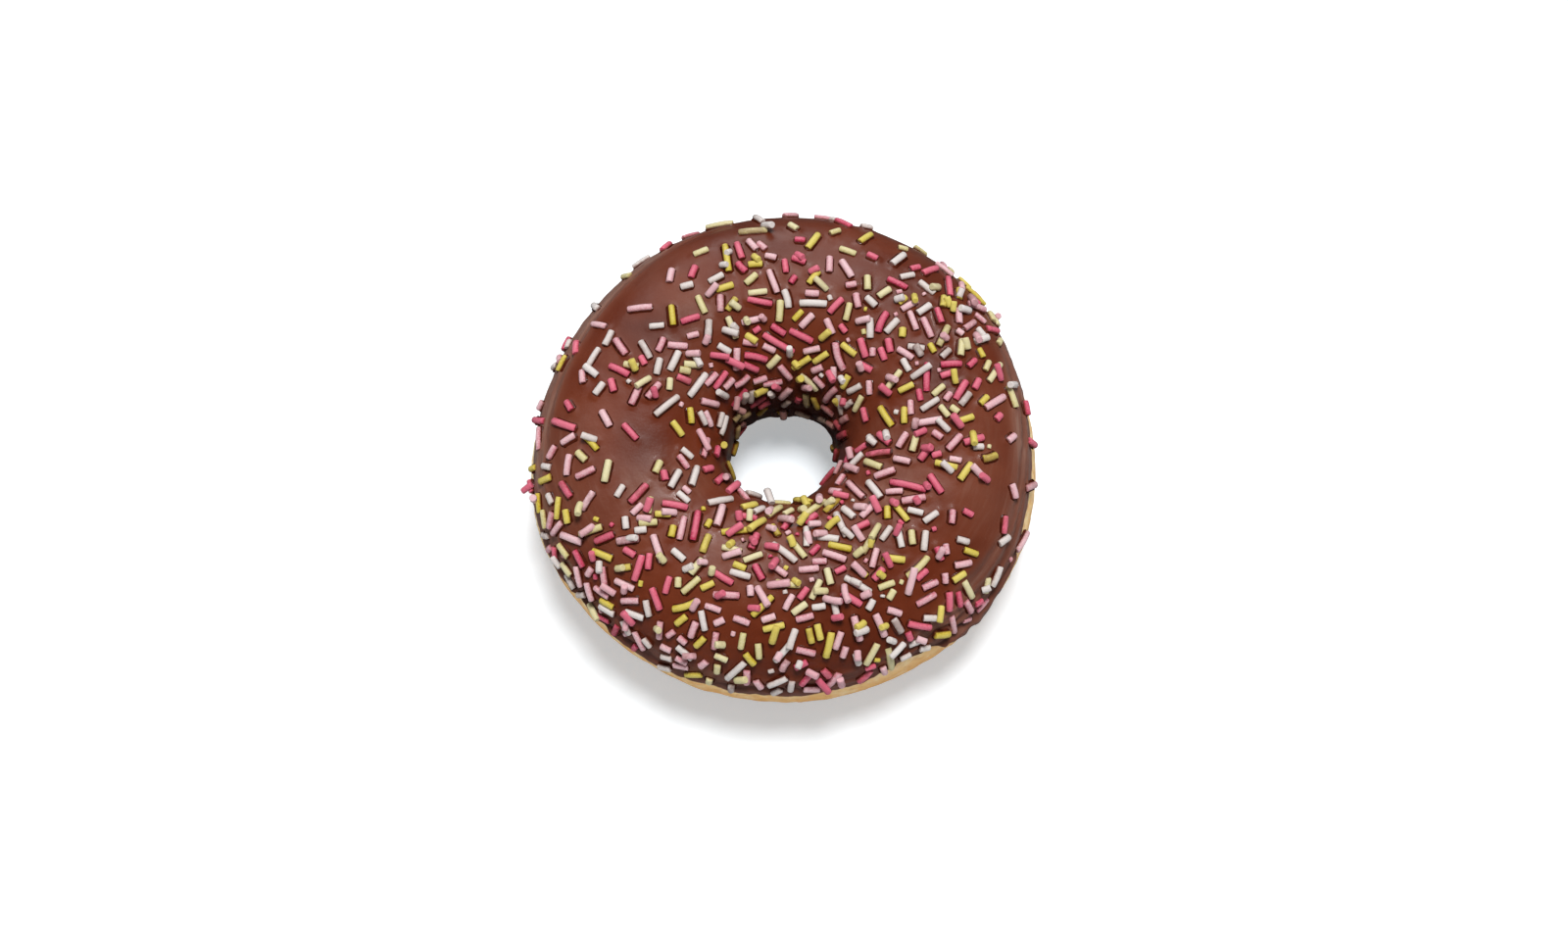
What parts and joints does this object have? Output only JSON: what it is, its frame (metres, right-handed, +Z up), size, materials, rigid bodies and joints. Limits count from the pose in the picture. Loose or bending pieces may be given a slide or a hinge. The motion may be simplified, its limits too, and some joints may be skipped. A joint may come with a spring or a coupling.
{
  "type": "sprinkle frosted doughnut",
  "caption": "Ring doughnut of golden fried dough, its top half dipped in chocolate icing and scattered with coloured sugar strands.",
  "frame": {"origin": "centre of the flat underside, on the surface that the doughnut rests on", "axes": "+Z up through the hole, the iced side on top; the ring lies in the XY plane"},
  "size_m": [0.0896, 0.0903, 0.032],
  "materials": {
    "dough": "golden fried crust with a paler band round the waist",
    "icing": "satin milk chocolate",
    "strand_white": "dry sugar",
    "strand_cream": "dry sugar",
    "strand_yellow": "dry sugar",
    "strand_pale_pink": "dry sugar",
    "strand_deep_pink": "dry sugar"
  },
  "bodies": {
    "root": {"dough_ring": "dough", "chocolate_icing": "icing"}
  },
  "joints": []
}
